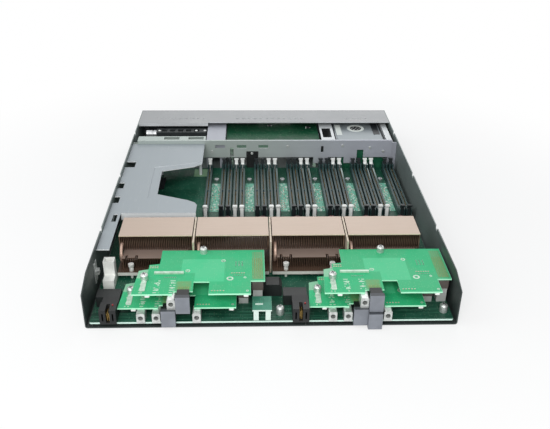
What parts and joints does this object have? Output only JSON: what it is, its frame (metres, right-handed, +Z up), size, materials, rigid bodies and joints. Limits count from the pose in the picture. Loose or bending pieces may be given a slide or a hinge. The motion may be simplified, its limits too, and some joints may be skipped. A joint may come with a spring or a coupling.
{
  "type": "blade server",
  "caption": "Full-height blade server with its cover off: steel tray, heatsinks, memory sockets with latches, stacked mezzanine cards, slide-out drives and an ejector handle.",
  "frame": {"origin": "middle of the tray's flat underside", "axes": "+Z up, +Y from the midplane connectors at the rear edge to the front panel, +X to the right seen from the rear"},
  "size_m": [0.385, 0.506, 0.05],
  "materials": {
    "tray_steel": "satin zinc plate, darker outside",
    "panel_paint": "fine powder coat",
    "strip_steel": "satin",
    "member_steel": "satin zinc plate",
    "plate_steel": "matt grey",
    "cage_steel": "satin",
    "latch_grey": "satin",
    "pocket_plastic": "fine texture",
    "board_green": "solder mask over glass laminate",
    "control_green": "solder mask over glass laminate",
    "card_green": "solder mask over glass laminate",
    "stack_brown": "moulded",
    "stack_pale": "moulded",
    "housing_black": "moulded",
    "cap_grey": "moulded",
    "nickel": "satin nickel",
    "bus_black": "moulded",
    "strap_pale": "bright",
    "post_white": "moulded",
    "sense_green": "solder mask",
    "sink_copper": "nickel-plated copper, warm",
    "pipe_copper": "sintered copper, satin",
    "spring_white": "bright nickel",
    "divider_steel": "satin",
    "socket_dark": "moulded",
    "lid_nickel": "satin nickel lid",
    "dimm_black": "moulded",
    "latch_white": "moulded",
    "latch_black": "moulded",
    "handle_grey": "satin",
    "button_blue_grey": "fine texture",
    "button_dark": "fine texture",
    "light_clear": "clear moulding",
    "carrier_dark": "fine texture",
    "lever_silver": "satin",
    "drive_alloy": "cast and machined",
    "choke_red": "ferrite and lacquer",
    "chip_black": "moulded epoxy",
    "header_white": "moulded",
    "screw_zinc": "bright zinc"
  },
  "bodies": {
    "chassis": {"base_tray": "tray_steel", "front_panel": "panel_paint", "front_top_strip": "strip_steel", "cross_member": "member_steel", "air_plate": "plate_steel", "drive_cage": "cage_steel", "latch_housing": "latch_grey", "handle_pocket": "pocket_plastic", "system_board": "board_green", "control_board": "control_green", "drive_backplane": "board_green", "mezz_card_upper_left": "card_green", "mezz_card_lower_left": "card_green", "mezz_card_upper_right": "card_green", "mezz_card_lower_right": "card_green", "stack_plugs": "stack_brown", "stack_receptacles": "stack_pale", "io_connectors": "housing_black", "connector_caps": "cap_grey", "guide_sockets": "nickel", "power_connectors": "housing_black", "power_blocks": "bus_black", "card_thumbscrews": "nickel", "card_latch_plates": "strap_pale", "card_standoffs": "post_white", "sense_board": "sense_green", "heatsink_1": "sink_copper", "heatsink_2": "sink_copper", "heatsink_3": "sink_copper", "heatsink_4": "sink_copper", "heat_pipes": "pipe_copper", "heatsink_screws": "spring_white", "air_dividers": "divider_steel", "cpu_sockets": "socket_dark", "processors": "lid_nickel", "dimm_sockets_left": "dimm_black", "dimm_sockets_right": "dimm_black", "handle_pin": "screw_zinc", "usb_ports": "nickel", "status_light": "light_clear", "board_chokes": "choke_red", "board_chips": "chip_black", "tall_header": "header_white", "wall_clip": "nickel", "board_screws": "screw_zinc"},
    "handle": {"ejector_handle": "handle_grey"},
    "release_button": {"handle_release": "button_blue_grey"},
    "power_switch": {"power_button": "button_dark"},
    "drive_upper": {"drive_carrier_upper": "carrier_dark", "hard_drive_upper": "drive_alloy"},
    "drive_lower": {"drive_carrier_lower": "carrier_dark", "hard_drive_lower": "drive_alloy"},
    "lever_upper": {"drive_lever_upper": "lever_silver"},
    "lever_lower": {"drive_lever_lower": "lever_silver"},
    "catch_upper": {"drive_release_upper": "button_blue_grey"},
    "catch_lower": {"drive_release_lower": "button_blue_grey"},
    "white_latch_row_rear": {"white_latches_rear": "latch_white"},
    "white_latch_row_front": {"white_latches_front": "latch_white"},
    "black_latch_row_rear": {"black_latches_rear": "latch_black"},
    "black_latch_row_front": {"black_latches_front": "latch_black"}
  },
  "joints": [
    {"name": "handle_pivot", "type": "hinge", "parent": "chassis", "child": "handle", "pos_m": [-0.1714, 0.2338, 0.025], "axis": [0, 0, 1], "range_deg": [0, 50]},
    {"name": "handle_release_press", "type": "slide", "parent": "chassis", "child": "release_button", "axis": [0, -1, 0], "range_m": [0, 0.0025], "stiffness_N_per_m": 200},
    {"name": "power_button_press", "type": "slide", "parent": "chassis", "child": "power_switch", "axis": [0, -1, 0], "range_m": [0, 0.0012], "stiffness_N_per_m": 200},
    {"name": "drive_slide_upper", "type": "slide", "parent": "chassis", "child": "drive_upper", "axis": [0, 1, 0], "range_m": [0, 0.11]},
    {"name": "drive_lever_hinge_upper", "type": "hinge", "parent": "drive_upper", "child": "lever_upper", "pos_m": [0.1063, 0.2456, 0.0335], "axis": [0, 0, 1], "range_deg": [0, 60]},
    {"name": "drive_catch_press_upper", "type": "slide", "parent": "drive_upper", "child": "catch_upper", "axis": [0, -1, 0], "range_m": [0, 0.0015], "stiffness_N_per_m": 200},
    {"name": "drive_slide_lower", "type": "slide", "parent": "chassis", "child": "drive_lower", "axis": [0, 1, 0], "range_m": [0, 0.11]},
    {"name": "drive_lever_hinge_lower", "type": "hinge", "parent": "drive_lower", "child": "lever_lower", "pos_m": [0.1063, 0.2456, 0.0139], "axis": [0, 0, 1], "range_deg": [0, 60]},
    {"name": "drive_catch_press_lower", "type": "slide", "parent": "drive_lower", "child": "catch_lower", "axis": [0, -1, 0], "range_m": [0, 0.0015], "stiffness_N_per_m": 200},
    {"name": "white_latches_rear_turn", "type": "hinge", "parent": "chassis", "child": "white_latch_row_rear", "pos_m": [0, -0.028, 0.0102], "axis": [1, 0, 0], "range_deg": [0, 24]},
    {"name": "white_latches_front_turn", "type": "hinge", "parent": "chassis", "child": "white_latch_row_front", "pos_m": [0, 0.111, 0.0102], "axis": [-1, 0, 0], "range_deg": [0, 24]},
    {"name": "black_latches_rear_turn", "type": "hinge", "parent": "chassis", "child": "black_latch_row_rear", "pos_m": [0, -0.028, 0.0102], "axis": [1, 0, 0], "range_deg": [0, 24]},
    {"name": "black_latches_front_turn", "type": "hinge", "parent": "chassis", "child": "black_latch_row_front", "pos_m": [0, 0.111, 0.0102], "axis": [-1, 0, 0], "range_deg": [0, 24]}
  ]
}
